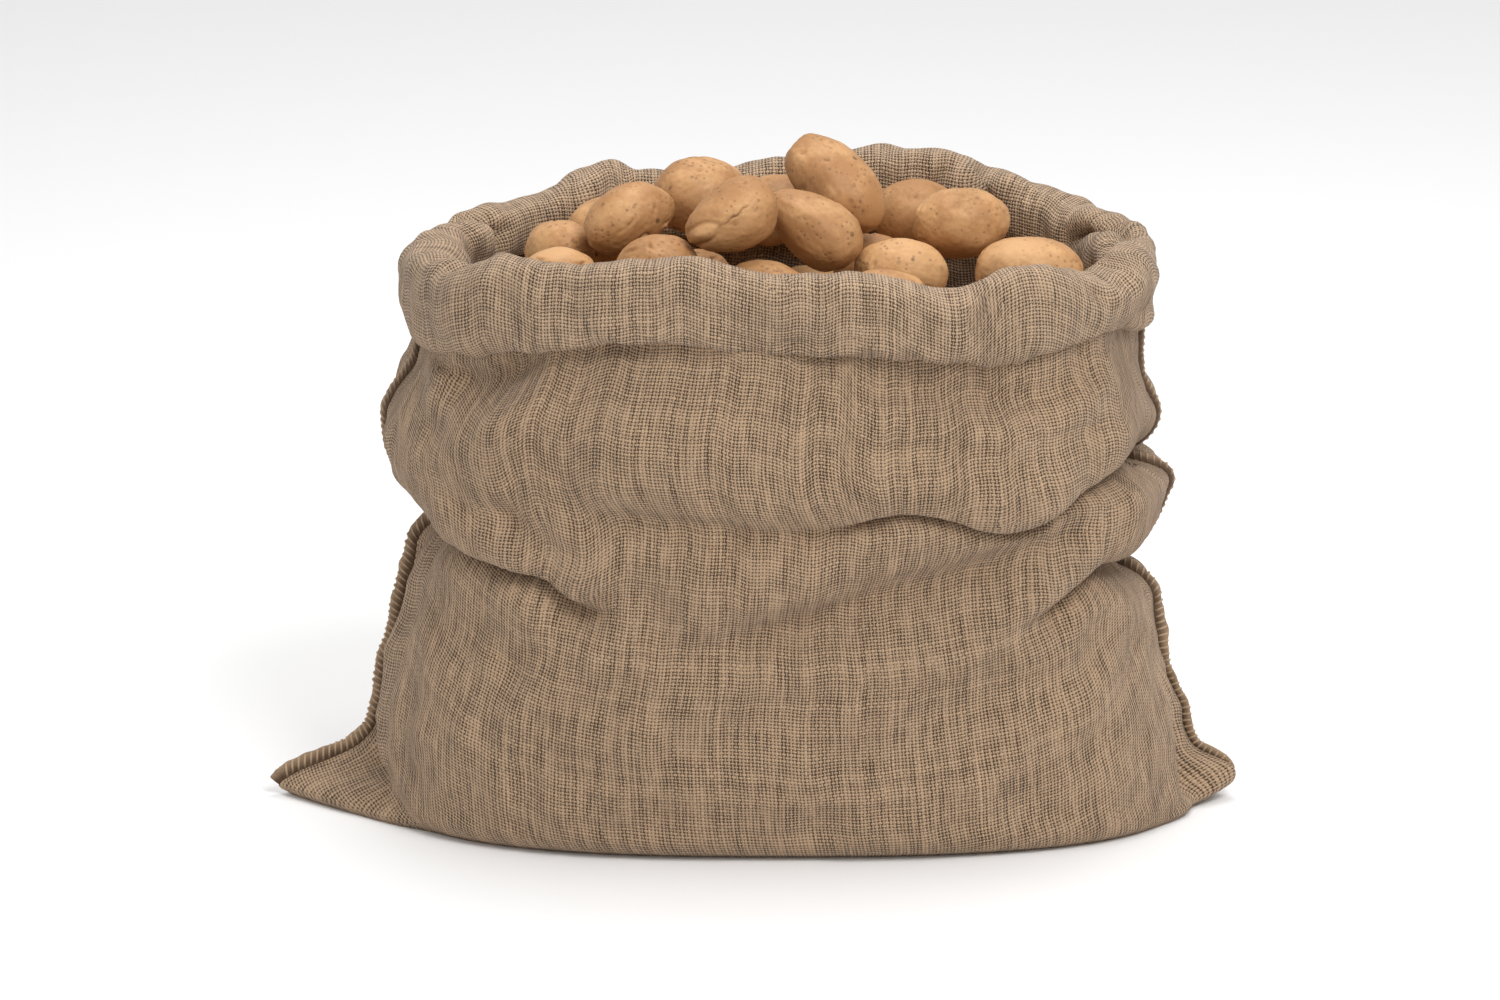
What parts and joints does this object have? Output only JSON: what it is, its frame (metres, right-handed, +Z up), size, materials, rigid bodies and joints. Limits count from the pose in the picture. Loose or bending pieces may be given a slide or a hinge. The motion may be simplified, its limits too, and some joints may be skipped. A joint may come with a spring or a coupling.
{
  "type": "hessian potato sack",
  "caption": "Burlap sack standing full of loose potatoes, its mouth rolled down into a cuff, with overlocked side seams and two corner ears.",
  "frame": {"origin": "middle of the flat base, on the floor", "axes": "+Z up, +X along the wide side towards the short ear, -Y towards the front"},
  "size_m": [0.6105, 0.2826, 0.4227],
  "materials": {
    "hessian": "matte",
    "seam_thread": "matte",
    "potato_skin": "satin"
  },
  "bodies": {
    "root": {"buried_layer_1": "potato_skin", "buried_layer_2": "potato_skin", "buried_layer_3": "potato_skin", "buried_layer_4": "potato_skin", "buried_layer_5": "potato_skin", "buried_layer_6": "potato_skin", "corner_ear_left": "hessian", "corner_ear_right": "hessian", "potato_front_low_middle": "potato_skin", "potato_front_middle": "potato_skin", "potato_front_right": "potato_skin", "potato_in_gap": "potato_skin", "potato_left_small": "potato_skin", "potato_under_crown": "potato_skin", "potato_under_left": "potato_skin", "rolled_cuff": "hessian", "sack_body": "hessian", "side_seam_left": "seam_thread", "side_seam_right": "seam_thread"},
    "potato_crown_body": {"potato_crown": "potato_skin"},
    "potato_pear_body": {"potato_pear": "potato_skin"},
    "potato_kidney_body": {"potato_kidney": "potato_skin"},
    "potato_round_left_body": {"potato_round_left": "potato_skin"},
    "potato_round_right_body": {"potato_round_right": "potato_skin"},
    "potato_sprouted_body": {"potato_sprouted": "potato_skin"},
    "potato_back_right_body": {"potato_back_right": "potato_skin"},
    "potato_right_front_body": {"potato_right_front": "potato_skin"},
    "potato_front_left_body": {"potato_front_left": "potato_skin"},
    "potato_back_left_body": {"potato_back_left": "potato_skin"},
    "potato_back_middle_body": {"potato_back_middle": "potato_skin"},
    "potato_front_low_right_body": {"potato_front_low_right": "potato_skin"}
  },
  "joints": [
    {"name": "potato_crown_lift", "type": "slide", "parent": "root", "child": "potato_crown_body", "axis": [0, 0, 1], "range_m": [0, 0.2]},
    {"name": "potato_pear_lift", "type": "slide", "parent": "root", "child": "potato_pear_body", "axis": [0, 0, 1], "range_m": [0, 0.2]},
    {"name": "potato_kidney_lift", "type": "slide", "parent": "root", "child": "potato_kidney_body", "axis": [0, 0, 1], "range_m": [0, 0.2]},
    {"name": "potato_round_left_lift", "type": "slide", "parent": "root", "child": "potato_round_left_body", "axis": [0, 0, 1], "range_m": [0, 0.2]},
    {"name": "potato_round_right_lift", "type": "slide", "parent": "root", "child": "potato_round_right_body", "axis": [0, 0, 1], "range_m": [0, 0.2]},
    {"name": "potato_sprouted_lift", "type": "slide", "parent": "root", "child": "potato_sprouted_body", "axis": [0, 0, 1], "range_m": [0, 0.2]},
    {"name": "potato_back_right_lift", "type": "slide", "parent": "root", "child": "potato_back_right_body", "axis": [0, 0, 1], "range_m": [0, 0.2]},
    {"name": "potato_right_front_lift", "type": "slide", "parent": "root", "child": "potato_right_front_body", "axis": [0, 0, 1], "range_m": [0, 0.2]},
    {"name": "potato_front_left_lift", "type": "slide", "parent": "root", "child": "potato_front_left_body", "axis": [0, 0, 1], "range_m": [0, 0.2]},
    {"name": "potato_back_left_lift", "type": "slide", "parent": "root", "child": "potato_back_left_body", "axis": [0, 0, 1], "range_m": [0, 0.2]},
    {"name": "potato_back_middle_lift", "type": "slide", "parent": "root", "child": "potato_back_middle_body", "axis": [0, 0, 1], "range_m": [0, 0.2]},
    {"name": "potato_front_low_right_lift", "type": "slide", "parent": "root", "child": "potato_front_low_right_body", "axis": [0, 0, 1], "range_m": [0, 0.2]}
  ]
}
